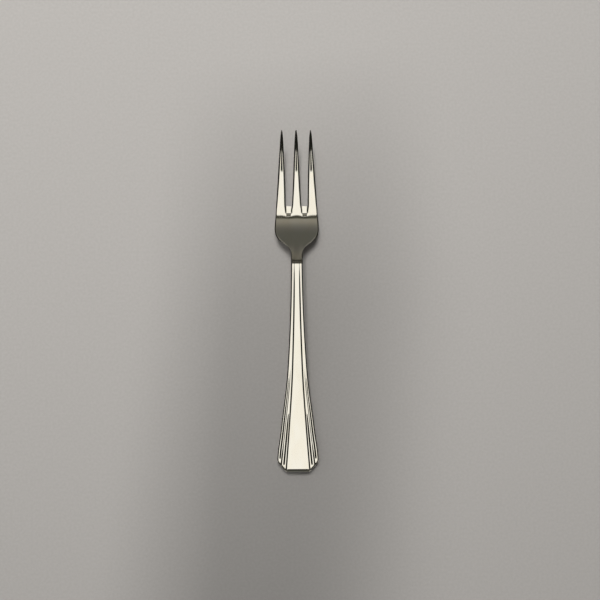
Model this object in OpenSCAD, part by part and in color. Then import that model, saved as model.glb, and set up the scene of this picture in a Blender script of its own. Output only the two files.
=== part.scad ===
// Fish fork with a filled handle: a forged head of three tines on a tang,
// two pressed handle halves soldered edge to edge, and a set cement core.

/* [Handle outline] */
// Length of the handle, from its end to the mouth that the neck meets
handle_l = 116; // [105:1:126]
// Width of the straight end, between the clipped corners
end_w = 12.6; // [8:0.2:16]
// Greatest width of the handle, just past the clipped corners
flare_w = 22.9; // [19:0.1:26]
// Length of a clipped corner along the handle
corner_l = 5.5; // [3:0.1:8]
// Width at the lower grip station
grip_w = 18.7; // [16.5:0.1:21]
// Distance of the lower grip station from the end
grip_s = 24; // [18:1:32]
// Width at the upper grip station
waist_w = 10.8; // [9:0.1:13]
// Distance of the upper grip station from the end
waist_s = 58; // [48:1:70]
// Width at the mouth
mouth_w = 6.35; // [5.8:0.05:7.4]

/* [Handle front] */
// Width of the raised panel at the end
panel_end_w = 12.1; // [9:0.1:14]
// Width of the raised panel at the lower grip station
panel_grip_w = 8.5; // [6:0.1:11]
// Width of the raised panel at the upper grip station
panel_waist_w = 4.4; // [3.5:0.1:5.5]
// Width of the raised panel at the mouth
panel_mouth_w = 1.9; // [1.6:0.1:2.6]
// Width over both inner bands at the end
band_end_w = 18.6; // [17:0.1:20]
// Width over both inner bands at the lower grip station
band_grip_w = 13; // [12:0.1:15]
// Width over both inner bands at the upper grip station
band_waist_w = 6.6; // [6.3:0.1:8]
// Width over both inner bands at the mouth
band_mouth_w = 4.1; // [3.8:0.1:5]
// Drop of each band below its inner neighbour
band_step = 0.35; // [0.2:0.05:0.4]
// Width of the slope at each drop
step_run = 0.85; // [0.4:0.05:0.9]
// Share of the width of its band that a flute takes
flute_share = 0.5; // [0.2:0.05:0.6]
// Depth of the flute in each band
flute_depth = 0.2; // [0.1:0.02:0.3]
// Plain length between a flute and the handle's end
flute_land = 2.2; // [1.5:0.1:4]
// Length over which a flute runs out at its end
flute_runout = 1.5; // [1:0.1:3]
// Distance from the end at which the flutes start to fade
flute_fade_s = 30; // [24:1:38]
// Distance from the end at which the flutes are gone
flute_gone_s = 52; // [46:1:62]
// Distance from the end at which the outer drop starts to fade
outer_fade_s = 46; // [40:1:60]
// Distance from the end at which the outer drop is gone
outer_gone_s = 78; // [70:1:95]

/* [Handle section] */
// Thickness at the handle's end
handle_end_t = 4.8; // [4.4:0.1:6]
// Thickness at the mouth
mouth_t = 4.8; // [4.4:0.1:5.4]
// Width of the rolled front edges, along the handle and round the head
edge_round = 0.75; // [0.4:0.05:0.9]
// Drop of the rolled front edges, above the straight sides
edge_drop = 0.3; // [0.1:0.05:0.4]
// Width of the rolled front edge at the end and round the clipped corners
end_round = 2; // [1:0.1:2.4]
// Drop of the rolled front edge at the end and round the clipped corners
end_drop = 0.6; // [0.2:0.05:0.7]
// Lean of the straight sides, over their whole height
draft = 0.05; // [0.03:0.01:0.1]
// Radius of the back's edges
back_round = 2; // [1.2:0.1:2.1]
// Depth polished off the back to make the flat that it rests on
rest_cut = 0.15; // [0.1:0.05:0.3]
// Wall of the pressed halves
shell_wall = 0.5; // [0.4:0.05:0.6]
// Thickness of the solder film between pieces
solder_film = 0.05; // [0.02:0.01:0.1]
// Clearance of the cement core inside the halves
core_gap = 0.1; // [0.08:0.01:0.15]

/* [Tang] */
// Length of the tang inside the handle
tang_l = 48; // [30:1:65]
// Width of the tang at the mouth
tang_w = 2.8; // [2:0.1:3.2]
// Width of the tang at its far end
tang_tip_w = 2; // [1.4:0.1:2.6]
// Thickness of the tang at the mouth
tang_t = 1.4; // [1:0.1:1.8]
// Thickness of the tang at its far end
tang_tip_t = 1; // [0.8:0.1:1.6]
// Clearance of the tang in its pocket
tang_gap = 0.1; // [0.05:0.01:0.15]

/* [Head outline] */
// Length of the neck, from the mouth to its narrowest place
neck_l = 3.5; // [2:0.1:6]
// Width of the neck at its narrowest
neck_w = 5.9; // [5:0.1:6.3]
// Length of the hollow half of each shoulder
hollow_l = 6.5; // [5:0.1:9]
// Width where the shoulders turn from hollow to round
turn_w = 14.8; // [12:0.1:17]
// Angle of the shoulders where they turn, from the fork's axis
turn_angle = 54; // [40:1:60]
// Length of the round half of each shoulder
round_l = 8.3; // [6:0.1:10]
// Greatest width of the head
bowl_w = 24.3; // [22.5:0.1:27]
// Length from the greatest width to the slots
bowl_l = 11.1; // [8:0.1:14]
// Distance past the neck over which its rounded section becomes the bowl's flat one
blend_l = 9; // [6:0.5:12]
// Distance past the mouth over which the handle's step runs out on the neck
step_fade_l = 3; // [1.5:0.5:6]

/* [Tines] */
// Length of the tines past the place where the slots have straight sides
tine_l = 40.9; // [36:0.1:48]
// Distance from there to the middle station of the tines
tine_mid_l = 13.8; // [10:0.1:18]
// Length of the tapered points
point_l = 10.7; // [8:0.1:13]
// Width of the centre tine at its root
centre_root_w = 5.4; // [4.8:0.1:6]
// Width of the centre tine at the middle station
centre_mid_w = 3.95; // [3.4:0.05:4.5]
// Width of the centre tine where its point starts
centre_point_w = 2.4; // [1.9:0.1:2.9]
// Width of the centre tine's tip
centre_tip_w = 0.5; // [0.3:0.05:1]
// Width of a side tine at its root
side_root_w = 5.6; // [5:0.1:6.2]
// Width of a side tine at the middle station
side_mid_w = 4.45; // [3.7:0.05:4.9]
// Width of a side tine where its point starts
side_point_w = 2.4; // [1.8:0.05:2.8]
// Width of a side tine's tip
side_tip_w = 0.45; // [0.3:0.05:1]
// Width that the tines lose in each unit of length at the very tips
tip_taper = 0.4; // [0.2:0.05:0.6]
// Distance of a side tine's middle from the axis at the root
side_root_x = 8.7; // [8.2:0.05:9.2]
// Distance of a side tine's tip from the axis
side_tip_x = 7.7; // [7:0.1:8.4]
// Depth of the round in the slot roots on the front
slot_round = 2.1; // [1.2:0.1:4]
// How square the round in the slot roots is, from a pointed 1 to a blunt 16
slot_square = 12; // [1:0.5:16]
// Depth of the round in the slot roots on the back
slot_back_round = 0.8; // [0.2:0.1:2]
// Length by which the slots start later on the back, which makes a ramp at each root
ramp_l = 2.6; // [1:0.1:4]
// Length over which the bowl rolls over into the slot roots
slot_roll_l = 2.4; // [1:0.1:4]
// Drop of the bowl where it rolls over into the slot roots
slot_roll = 0.25; // [0:0.05:0.4]

/* [Head section] */
// Thickness of the bowl
bowl_t = 2.2; // [1.8:0.1:2.6]
// Thickness of the tips
tip_t = 0.9; // [0.7:0.1:1.4]
// Rise of a tine's middle over its edges, before they round off
crown = 0.2; // [0:0.05:0.3]
// Least height of the sides of the bowl and tines
side_flat = 0.5; // [0.3:0.1:0.8]
// Rise of the bowl's sides above its middle
dish = 0.35; // [0:0.05:0.8]

/* [Side profile] */
// Length of the handle that lies flat at its end
rest_l = 25; // [15:1:35]
// Height of the front at the crest of the handle
crest_z = 11; // [8:0.1:14]
// Distance of the crest behind the mouth
crest_back_l = 7.5; // [4:0.5:12]
// Distance of the bowl's lowest place past the start of the slots
belly_l = 1.9; // [0:0.1:4]
// Height of the tips
tip_z = 13.9; // [11:0.1:16]
// Angle of the tines at their tips
tip_rise = 29; // [22:1:35]

/* [Hidden] */
silver = [0.93, 0.91, 0.85];
cement = [0.52, 0.48, 0.43];

// Stations along the fork, from the handle's end
crest_s = handle_l - crest_back_l;
neck_s = handle_l + neck_l;
turn_s = neck_s + hollow_l;
bowl_s = turn_s + round_l;
split_s = bowl_s + bowl_l;
back_split_s = split_s + ramp_l;
belly_s = split_s + belly_l;
mid_s = split_s + tine_mid_l;
overall_l = split_s + tine_l;
point_s = overall_l - point_l;
corner_slope = (flare_w - end_w) / 2 / corner_l;

// Least distance between neighbouring lines of a section
line_gap = 0.04;
// Spacing of the sections along the handle
handle_pitch = 3;
// Number of steps between sections along the tang, the bowl and the tines
tang_steps = 8;
bowl_steps = 22;
tine_steps = 18;
// Length over which the edges at a slot become round
slot_ease_l = 4;

// Numbers and lists
function unit(u) = min(max(u, 0), 1);
function ease(u) = let (c = unit(u)) c * c * (3 - 2 * c);
function mix(a, b, u) = a + (b - a) * u;
function flat(rows) = [for (row = rows) each row];
function reversed(row) = [for (i = [len(row) - 1:-1:0]) row[i]];
function mirrored(half) = concat([for (i = [len(half) - 1:-1:1]) -half[i]], half);

// Smooth curve through knots of place, value and slope
function span(knots, s, i = 0) = i >= len(knots) - 2 || s <= knots[i + 1][0] ? i : span(knots, s, i + 1);
function between(a, b, s) =
    let (run = b[0] - a[0], t = unit((s - a[0]) / run))
    mix(a[1], b[1], ease(t)) + run * t * (1 - t) * (a[2] * (1 - t) - b[2] * t);
function curve(knots, s) = let (i = span(knots, s)) between(knots[i], knots[i + 1], s);

// Knots whose inner slopes follow from their neighbours
function sloped(points, first, last) = [for (i = [0:len(points) - 1]) [
    points[i][0],
    points[i][1],
    i == 0 ? first
        : i == len(points) - 1 ? last
        : (points[i + 1][1] - points[i - 1][1]) / (points[i + 1][0] - points[i - 1][0])
]];

// Side profile: the front's height, the thickness and the middle surface
profile = [
    [0, handle_end_t, 0], [rest_l, handle_end_t, 0], [crest_s, crest_z, 0],
    [belly_s, bowl_t, 0], [overall_l, tip_z, tan(tip_rise)]
];
thicknesses = [
    [0, handle_end_t + rest_cut, 0], [rest_l, handle_end_t + rest_cut, 0], [handle_l, mouth_t, 0],
    [bowl_s, bowl_t, 0], [belly_s, bowl_t, 0], [overall_l, tip_t, 0]
];
function thick(s) = curve(thicknesses, s);
function middle_z(s) = curve(profile, s) - thick(s) / 2;

// Share of the height that is left at a distance inside a rounded edge
function rim(d, r) = sqrt(1 - pow(1 - unit(d / r), 2));

// Drop at a distance inside a rolled edge, which keeps its slope where it has to be narrower
function rolled(d, run) = edge_drop * run / edge_round * pow(1 - unit(d / run), 2);

// Plan lines of the handle, as distances from the axis
outline = sloped([[corner_l, flare_w], [grip_s, grip_w], [waist_s, waist_w], [handle_l, mouth_w]], 0, 0);
panel = sloped(
    [[0, panel_end_w], [grip_s, panel_grip_w], [waist_s, panel_waist_w], [handle_l, panel_mouth_w]],
    (panel_grip_w - panel_end_w) / grip_s, 0
);
bands = sloped(
    [[0, band_end_w], [grip_s, band_grip_w], [waist_s, band_waist_w], [handle_l, band_mouth_w]],
    (band_grip_w - band_end_w) / grip_s, 0
);
function side_x(s) = curve(outline, s) / 2;
function corner_x(s) = end_w / 2 + s * corner_slope;
function edge_x(s) = min(side_x(s), corner_x(s));
function panel_x(s) = curve(panel, s) / 2;
function band_x(s) = curve(bands, s) / 2;

// The two flutes: each one's limits across the handle, and how much of it is left along the handle
function flute_x(limits) = (limits[0] + limits[1]) / 2;
function flute_limits(band) =
    let (half = flute_share / 2 * max(band[1] - band[0], line_gap))
    [flute_x(band) - half, flute_x(band) + half];
function inner_flute(s) = flute_limits([panel_x(s) + step_run, band_x(s)]);
function outer_flute(s) = flute_limits([band_x(s) + step_run, side_x(s) - edge_round]);
function flute_left(s) = 1 - ease((s - flute_fade_s) / (flute_gone_s - flute_fade_s));
function flute(limits, x, s) =
    let (
        off = abs(x - flute_x(limits)) / (limits[1] - flute_x(limits)),
        end_s = max(flute_x(limits) - end_w / 2, 0) / corner_slope + flute_land
    )
    flute_depth * (1 - unit(off)) * ease((s - end_s) / flute_runout) * flute_left(s);

// Drop of the front below its panel, first by the steps alone
function step_drop(x, s) =
    let (outer_left = 1 - ease((s - outer_fade_s) / (outer_gone_s - outer_fade_s)))
    band_step * (unit((x - panel_x(s)) / step_run) + outer_left * unit((x - band_x(s)) / step_run));
function front_drop(x, s) = step_drop(x, s) + flute(inner_flute(s), x, s) + flute(outer_flute(s), x, s);

// Heights about the middle surface, set in from the outer faces by a given depth
function edged_z(z, x, s, inset) =
    let (
        d = edge_x(s) - inset - abs(x),
        e = s - inset,
        side_d = side_x(s) - inset - draft - abs(x),
        corner_d = (corner_x(s) - inset - draft - abs(x)) / norm([1, corner_slope]),
        end_roll = end_drop * pow(1 - unit(min(e - draft, corner_d) / end_round), 2)
    )
    max(z - inset - rolled(side_d, edge_round) - end_roll, line_gap) * unit(d / draft) * unit(e / draft);
function front_z(x, s, inset) = edged_z(thick(s) / 2 - front_drop(abs(x), s), x, s, inset);
function back_z(x, s, inset) =
    (thick(s) / 2 - inset) * rim(edge_x(s) - inset - abs(x), back_round) * rim(s - inset, back_round);

// Lines across the handle, kept in order and inside the rounded edge
function kept_inside(xs, limit) =
    [for (i = [0:len(xs) - 1]) min(xs[i], limit - (len(xs) - 1 - i) * line_gap)];
function rounded(edge, r, angles) = [for (a = angles) edge - r * (1 - cos(a))];
roll_parts = [0.55, 0.25, 0];
function edged(lines, edge) =
    let (top = edge - draft, roll = [for (u = roll_parts) top - u * edge_round])
    mirrored(concat(kept_inside(lines, top - edge_round), roll, [edge]));
function front_lines(s, inset) =
    let (a = inner_flute(s), b = outer_flute(s))
    edged([
        0, panel_x(s), panel_x(s) + step_run, a[0], flute_x(a), a[1],
        band_x(s), band_x(s) + step_run, b[0], flute_x(b), b[1]
    ], edge_x(s) - inset);
function back_lines(s, inset) =
    let (edge = edge_x(s) - inset, limit = edge - back_round)
    mirrored(concat([0, limit / 2, limit], rounded(edge, back_round, [65, 45, 22, 0])));

// Sections of the handle, close together round its end and corners
shaft_steps = round((handle_l - corner_l) / handle_pitch);
handle_rows = concat(
    [0],
    [for (u = reversed(roll_parts)) draft + u * end_round],
    [for (i = [0:3]) mix(draft + end_round, corner_l, i / 3)],
    [for (i = [1:shaft_steps]) mix(corner_l, handle_l, i / shaft_steps)]
);
function inset_s(s, inset) = mix(inset, handle_l, s / handle_l);
function front_skin(inset) = [for (row = handle_rows) let (s = inset_s(row, inset)) [
    for (x = front_lines(s, inset)) [x, s, middle_z(s) + solder_film / 2 + front_z(x, s, inset)]
]];
function back_skin(inset) = [for (row = handle_rows) let (
    s = inset_s(row, inset),
    top = middle_z(s) - solder_film / 2
) [
    for (x = reversed(back_lines(s, inset))) [x, s, max(top - back_z(x, s, inset), 0)]
]];

// Triangles between two lines of point numbers, over a skin and over a closed end
function cells(a, b, closed = false) = [
    for (i = [0:len(a) - (closed ? 1 : 2)])
        let (j = (i + 1) % len(a))
            each [[a[i], b[i], b[j]], [a[i], b[j], a[j]]]
];
function skin(rows, closed = false) = [for (i = [0:len(rows) - 2]) each cells(rows[i], rows[i + 1], closed)];
function whole(triangles) = [for (t = triangles) if (t[0] != t[1] && t[1] != t[2] && t[2] != t[0]) t];
function numbered(first, rows) =
    let (n = len(rows[0])) [for (i = [0:len(rows) - 1]) [for (k = [0:n - 1]) first + i * n + k]];
function border(rows) =
    let (n = len(rows), m = len(rows[0]))
    concat(
        rows[0],
        [for (i = [1:n - 2]) rows[i][m - 1]],
        reversed(rows[n - 1]),
        [for (i = [n - 2:-1:1]) rows[i][0]]
    );

// Moves the fork's middle to the origin
module placed() {
    translate([0, -overall_l / 2, 0]) children();
}

// Pressed half: an outer and an inner skin, joined round their border
module half_shell(outer, inner) {
    out = numbered(0, outer);
    in = numbered(len(outer) * len(outer[0]), inner);
    polyhedron(
        flat(concat(outer, inner)),
        concat(skin(out), [for (t = skin(in)) reversed(t)], cells(border(in), border(out), true))
    );
}

// Tang: half its width and half its thickness along its length
tang_s = handle_l - tang_l;
function tang_half_w(s) = mix(tang_tip_w, tang_w, unit((s - tang_s) / tang_l)) / 2;
function tang_half_t(s) = mix(tang_tip_t, tang_t, unit((s - tang_s) / tang_l)) / 2;

// Widths and middles of the tines
centre_widths = sloped(
    [[split_s, centre_root_w], [mid_s, centre_mid_w], [point_s, centre_point_w], [overall_l, centre_tip_w]],
    (centre_mid_w - centre_root_w) / tine_mid_l, -tip_taper
);
side_widths = sloped(
    [[split_s, side_root_w], [mid_s, side_mid_w], [point_s, side_point_w], [overall_l, side_tip_w]],
    (side_mid_w - side_root_w) / tine_mid_l, -tip_taper
);
function centre_half(s) = curve(centre_widths, s) / 2;
function side_half(s) = curve(side_widths, s) / 2;
function side_mid_x(s) = mix(side_root_x, side_tip_x, unit((s - split_s) / tine_l));
function outer_x(s) = side_mid_x(s) + side_half(s);

// Outline of the neck, the shoulders and the bowl, which goes on along the side tines
bowl_outline = [
    [handle_l, mouth_w / 2, 0],
    [neck_s, neck_w / 2, 0],
    [turn_s, turn_w / 2, tan(turn_angle)],
    [bowl_s, bowl_w / 2, 0],
    [split_s, side_root_x + side_root_w / 2, (side_mid_w - side_root_w) / 2 / tine_mid_l]
];
function head_x(s) = s < split_s ? curve(bowl_outline, s) : outer_x(s);

// Lines across half the head: at the neck, and over the centre tine, a slot and a side tine
centre_parts = [0, 0.75, 1];
slot_parts = [0.08, 0.25, 0.5, 0.75, 0.92];
side_parts = [0, 0.2, 0.5, 0.8, 0.93, 1];
first_slot = len(centre_parts);
first_side = first_slot + len(slot_parts);
last_line = first_side + len(side_parts) - 1;
function tine_lines(s) = concat(
    [for (u = centre_parts) u * centre_half(s)],
    [for (u = slot_parts) mix(centre_half(s), side_mid_x(s) - side_half(s), u)],
    [for (u = side_parts) side_mid_x(s) + (2 * u - 1) * side_half(s)]
);
neck_lines =
    let (edge = mouth_w / 2, step_x = panel_mouth_w / 2 + step_run)
    concat(
        [0, panel_mouth_w / 4, panel_mouth_w / 2, step_x],
        [for (i = [1:len(slot_parts)]) mix(step_x, edge - edge_round, i / len(slot_parts))],
        [for (u = [0.8, 0.55, 0.3, 0.12, 0]) edge - u * edge_round]
    );
function blended(s) = ease((s - handle_l) / (neck_l + blend_l));
function step_left(s) = 1 - ease((s - handle_l) / step_fade_l);
function head_line(j, s) =
    let (i = abs(j))
    sign(j) * mix(neck_lines[i], tine_lines(s)[i] * head_x(s) / outer_x(s), blended(s));

// Heights of the head's faces about its middle surface
function dish_z(x, s) =
    let (bowl_left = 1 - ease((s - split_s) / tine_mid_l))
    dish * pow(x / head_x(s), 2) * ease((s - neck_s) / (bowl_s - neck_s)) * bowl_left;
function flat_z(s) = side_flat / 2 * max(blended(s), line_gap);
function bowl_front_z(x, s) =
    let (rise = thick(s) / 2 - front_drop(abs(x), handle_l) * step_left(s))
    max(rise - rolled(head_x(s) - abs(x), edge_round), flat_z(s));
function bowl_back_z(x, s) =
    let (d = head_x(s) - abs(x), bowl_z = max(thick(s) / 2 - rolled(d, edge_round), flat_z(s)))
    mix(thick(s) / 2 * rim(d, back_round), bowl_z, blended(s));
function tine_z(x, s, is_side, root_s) =
    let (
        half = is_side ? side_half(s) : centre_half(s),
        run = min(edge_round, half),
        off = abs(x) - (is_side ? side_mid_x(s) : 0),
        formed = ease((s - root_s) / slot_ease_l),
        slot_roll_z = formed * rolled(is_side ? half + off : half - off, run),
        outer_roll_z = is_side ? rolled(half - off, run) : 0
    )
    max(thick(s) / 2 - crown * formed * pow(off / half, 2) - slot_roll_z - outer_roll_z, flat_z(s));

// Rows of points: the front from left to right, then the back from right to left
across = [for (j = [-last_line:last_line]) j];
function is_slot(i) = i >= first_slot && i < first_side;
function slot_bulge(i) = is_slot(i) ? 1 - pow(abs(2 * slot_parts[i - first_slot] - 1), slot_square) : 0;
function tang_row(s) =
    let (z = tang_half_t(s), half = tang_half_w(s) / last_line)
    concat(
        [for (j = across) [j * half, s, middle_z(s) + z]],
        [for (j = reversed(across)) [j * half, s, middle_z(s) - z]]
    );
function bowl_point(j, u, root_s, depth, is_front) =
    let (
        root = root_s - depth * slot_bulge(abs(j)),
        s = mix(handle_l + solder_film, root, u),
        x = head_line(j, s),
        roll = slot_roll * slot_bulge(abs(j)) * pow(1 - unit((root - s) / slot_roll_l), 2),
        z = is_front ? bowl_front_z(x, s) - roll : -bowl_back_z(x, s)
    )
    [x, s, middle_z(s) + z + dish_z(x, s)];
function bowl_row(u) = concat(
    [for (j = across) bowl_point(j, u, split_s, slot_round, true)],
    [for (j = reversed(across)) bowl_point(j, u, back_split_s, slot_back_round, false)]
);
function tine_point(j, u, root_s, way) =
    let (s = mix(root_s, overall_l, u), x = head_line(j, s))
    [x, s, middle_z(s) + way * tine_z(x, s, abs(j) >= first_side, root_s) + dish_z(x, s)];
function tine_row(lines, u) = concat(
    [for (j = lines) tine_point(j, u, split_s, 1)],
    [for (j = reversed(lines)) tine_point(j, u, back_split_s, -1)]
);

// Point numbers on the front or the back of a row whose lines start at a given number
function front_numbers(lines, first, of_lines) = [for (j = lines) first + j - of_lines[0]];
function back_numbers(lines, first, of_lines) =
    let (n = len(of_lines)) [for (j = lines) first + 2 * n - 1 - (j - of_lines[0])];

// Head: tang, neck and bowl in one skin, which splits into the skins of the three tines
module fork_head() {
    body = concat(
        [for (i = [0:tang_steps]) tang_row(mix(tang_s, handle_l + solder_film, i / tang_steps))],
        [for (i = [0:bowl_steps]) bowl_row(i / bowl_steps)]
    );
    body_size = len(body) * len(body[0]);
    root = body_size - len(body[0]);
    tines = [
        [for (j = [-last_line:-first_side]) j],
        [for (j = [1 - first_slot:first_slot - 1]) j],
        [for (j = [first_side:last_line]) j]
    ];
    slots = [[for (j = [-first_side:1 - first_slot]) j], [for (j = [first_slot - 1:first_side]) j]];
    tine_points = [for (lines = tines) [for (i = [1:tine_steps]) each tine_row(lines, i / tine_steps)]];
    starts = [
        body_size,
        body_size + len(tine_points[0]),
        body_size + len(tine_points[0]) + len(tine_points[1])
    ];
    color(silver) placed() polyhedron(
        concat(flat(body), flat(tine_points)),
        concat(
            skin(numbered(0, body), true),
            cells(back_numbers(across, 0, across), front_numbers(across, 0, across)),
            [for (lines = slots)
                each cells(front_numbers(lines, root, across), back_numbers(lines, root, across))],
            [for (k = [0:2]) let (
                lines = tines[k],
                n = 2 * len(lines),
                first = concat(
                    front_numbers(lines, root, across), back_numbers(reversed(lines), root, across)
                ),
                rest = [for (i = [0:tine_steps - 1]) [for (m = [0:n - 1]) starts[k] + i * n + m]],
                tip = starts[k] + (tine_steps - 1) * n
            ) each concat(
                skin(concat([first], rest), true),
                cells(front_numbers(lines, tip, lines), back_numbers(lines, tip, lines))
            )]
        )
    );
}

// Front half of the handle, with the panel, the stepped bands and their flutes
module handle_front() {
    color(silver) placed() half_shell(front_skin(0), front_skin(shell_wall));
}

// Plain back half of the handle, polished flat where it rests
module handle_back() {
    color(silver) placed() half_shell(back_skin(0), back_skin(shell_wall));
}

// Cement core: it fills the halves below the flutes, with a pocket for the tang
core_inset = shell_wall + core_gap;
core_rows = [for (i = [2:2:len(handle_rows) - 1]) inset_s(handle_rows[i], core_inset)];
function core_lines(s) = edged(
    [0, panel_x(s), panel_x(s) + step_run, band_x(s), band_x(s) + step_run, side_x(s)], edge_x(s) - core_inset
);
function core_z(x, s) =
    let (flutes = flute_depth * flute_left(s) * unit((abs(x) - panel_x(s)) / step_run))
    edged_z(thick(s) / 2 - step_drop(abs(x), s) - flutes, x, s, core_inset);
function core_row(s) =
    let (xs = core_lines(s), n = len(xs))
    concat(
        [for (x = xs) [x, s, middle_z(s) + core_z(x, s)]],
        [for (i = [n - 2:-1:1]) [xs[i], s, middle_z(s) - back_z(xs[i], s, core_inset)]]
    );
function pocket_row(s, n) =
    let (
        half = tang_half_w(s) + tang_gap,
        z = tang_half_t(s) + tang_gap,
        corner = half - line_gap,
        xs = [for (i = [0:n - 3]) mix(-corner, corner, i / (n - 3))]
    )
    concat(
        [[-half, s, middle_z(s)]],
        [for (x = xs) [x, s, middle_z(s) + z]],
        [[half, s, middle_z(s)]],
        [for (x = reversed(xs)) [x, s, middle_z(s) - z]]
    );
module handle_filler() {
    n = len(core_lines(handle_l));
    rows = concat(
        [for (s = core_rows) core_row(s)],
        [for (i = [0:tang_steps]) pocket_row(mix(handle_l, tang_s - tang_gap, i / tang_steps), n)]
    );
    at = numbered(0, rows);
    first = at[0];
    last = at[len(at) - 1];
    function front_of(row) = [for (i = [0:n - 1]) row[i]];
    function back_of(row) = concat([row[0]], [for (i = [len(row) - 1:-1:n]) row[i]], [row[n - 1]]);
    color(cement) placed() polyhedron(
        flat(rows),
        concat(
            whole(cells(back_of(first), front_of(first))),
            skin(at, true),
            whole(cells(front_of(last), back_of(last)))
        )
    );
}

fork_head();
handle_front();
handle_back();
handle_filler();
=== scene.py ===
import math
from types import SimpleNamespace

import bmesh
import bpy
import numpy as np
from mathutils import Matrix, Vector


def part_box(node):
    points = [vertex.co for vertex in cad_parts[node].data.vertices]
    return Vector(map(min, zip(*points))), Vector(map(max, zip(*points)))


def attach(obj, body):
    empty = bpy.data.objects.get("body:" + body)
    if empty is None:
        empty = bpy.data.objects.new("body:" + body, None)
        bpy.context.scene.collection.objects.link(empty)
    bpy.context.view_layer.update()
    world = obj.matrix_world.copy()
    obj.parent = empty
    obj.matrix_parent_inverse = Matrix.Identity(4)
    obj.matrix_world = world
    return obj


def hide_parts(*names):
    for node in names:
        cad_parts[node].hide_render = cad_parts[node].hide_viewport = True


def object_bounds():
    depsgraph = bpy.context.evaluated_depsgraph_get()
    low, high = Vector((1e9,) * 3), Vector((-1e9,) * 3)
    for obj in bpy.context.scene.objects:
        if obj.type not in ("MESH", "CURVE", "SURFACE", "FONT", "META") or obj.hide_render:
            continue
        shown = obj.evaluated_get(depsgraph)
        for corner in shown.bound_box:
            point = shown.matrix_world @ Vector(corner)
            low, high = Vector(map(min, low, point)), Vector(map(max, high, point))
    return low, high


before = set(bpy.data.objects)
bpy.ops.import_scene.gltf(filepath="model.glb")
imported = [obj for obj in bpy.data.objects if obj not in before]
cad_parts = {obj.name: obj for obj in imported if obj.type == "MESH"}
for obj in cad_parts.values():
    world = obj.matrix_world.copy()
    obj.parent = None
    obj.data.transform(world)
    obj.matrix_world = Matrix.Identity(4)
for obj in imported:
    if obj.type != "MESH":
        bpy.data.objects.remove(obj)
cad_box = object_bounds()


# Handle front
# The front half of the handle is pressed in a die from silver-plated sheet. A raised panel runs down its
# middle, with two lower bands on each side, and a flute is struck down each. Solder joins it to the back.
MM = 0.001
QUARTER_TURN = math.pi / 2
# Least width of a strip of a mesh, in millimetres
TINY = 0.01
front_low, front_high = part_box("handle_front")
fork_length = (cad_box[1].y - cad_box[0].y) / MM

# Sizes in millimetres. A place is a distance from the handle's end.
handle = SimpleNamespace(
    length=(front_high.y - front_low.y) / MM,
    end_width=13.1,
    flare_width=(front_high.x - front_low.x) / MM,
    corner_length=5.5,
    grip_place=24,
    grip_width=18.7,
    waist_place=58,
    waist_width=10.8,
    mouth_width=6.35,
    panel_end_width=12.3,
    panel_grip_width=8.6,
    panel_waist_width=4.4,
    panel_mouth_width=1.9,
    band_end_width=18.6,
    band_grip_width=13,
    band_waist_width=6.6,
    band_mouth_width=4.1,
    step_height=0.35,
    mouth_step_height=0.09,
    band_step_height=0.12,
    band_fade_place=6,
    band_low_place=16,
    panel_fade_place=92,
    step_run=0.95,
    inner_flute_share=0.65,
    outer_flute_share=0.85,
    flute_width=0.9,
    flute_shoulder=0.15,
    flute_depth=0.2,
    inner_flute_land=2.2,
    outer_flute_land=3.2,
    flute_runout=1.5,
    inner_flute_fade=24,
    inner_flute_gone=36,
    outer_flute_fade=38,
    outer_flute_gone=56,
    outer_fade_place=46,
    outer_gone_place=78,
    edge_round=0.75,
    edge_drop=0.3,
    end_round=2,
    end_drop=0.6,
    corner_round=1.3,
    corner_drop=0.45,
    mouth_round=1.5,
    mouth_drop=0.025,
    draft=0.05,
    back_round=2,
    end_height=4.8,
    end_thickness=4.95,
    mouth_thickness=4.8,
    rest_length=25,
    crest_place=108.5,
    crest_height=11,
    belly_place=147.3,
    belly_height=2.2,
    solder_film=0.05,
)
# Wall of a pressed half, and the gap under which its points are welded, in millimetres
WALL = 0.5
PRESSING_WELD = 0.0025
# Angle past which an edge of a pressed half is sharp
PRESSING_CREASE = math.radians(32)


class Reckoned:
    """A number that a node tree works out at each point of a mesh."""

    def __init__(self, tree, socket):
        self.tree = tree
        self.socket = socket

    def joined(self, operation, *others):
        node = self.tree.nodes.new("ShaderNodeMath")
        node.operation = operation
        for entry, value in zip(node.inputs, (self, *others)):
            if isinstance(value, Reckoned):
                self.tree.links.new(value.socket, entry)
            else:
                entry.default_value = value
        return Reckoned(self.tree, node.outputs[0])

    def __add__(self, other):
        return self.joined("ADD", other)

    def __sub__(self, other):
        return self.joined("SUBTRACT", other)

    def __rsub__(self, other):
        return self * -1 + other

    def __mul__(self, other):
        return self.joined("MULTIPLY", other)

    def __truediv__(self, other):
        return self.joined("DIVIDE", other)

    __radd__ = __add__
    __rmul__ = __mul__


def least(a, b):
    """The lesser of two values. Like the next rules, it takes a node tree's numbers or arrays."""
    return a.joined("MINIMUM", b) if isinstance(a, Reckoned) else np.minimum(a, b)


def greatest(a, b):
    return a.joined("MAXIMUM", b) if isinstance(a, Reckoned) else np.maximum(a, b)


def distance(a):
    return a.joined("ABSOLUTE") if isinstance(a, Reckoned) else np.abs(a)


def share(u, first, last):
    """How far u has come from first to last, from 0 to 1."""
    return least(greatest((u - first) / (last - first), 0), 1)


def ease(u):
    return u * u * (3 - 2 * u)


def mix(a, b, u):
    return a + (b - a) * u


def curve(knots, s):
    """Smooth line through knots of place, value and slope."""
    value = knots[0][1]
    for (s0, v0, m0), (s1, v1, m1) in zip(knots, knots[1:]):
        t = share(s, s0, s1)
        value = value + (v1 - v0) * ease(t) + (s1 - s0) * t * (1 - t) * (m0 * (1 - t) - m1 * t)
    return value


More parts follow.
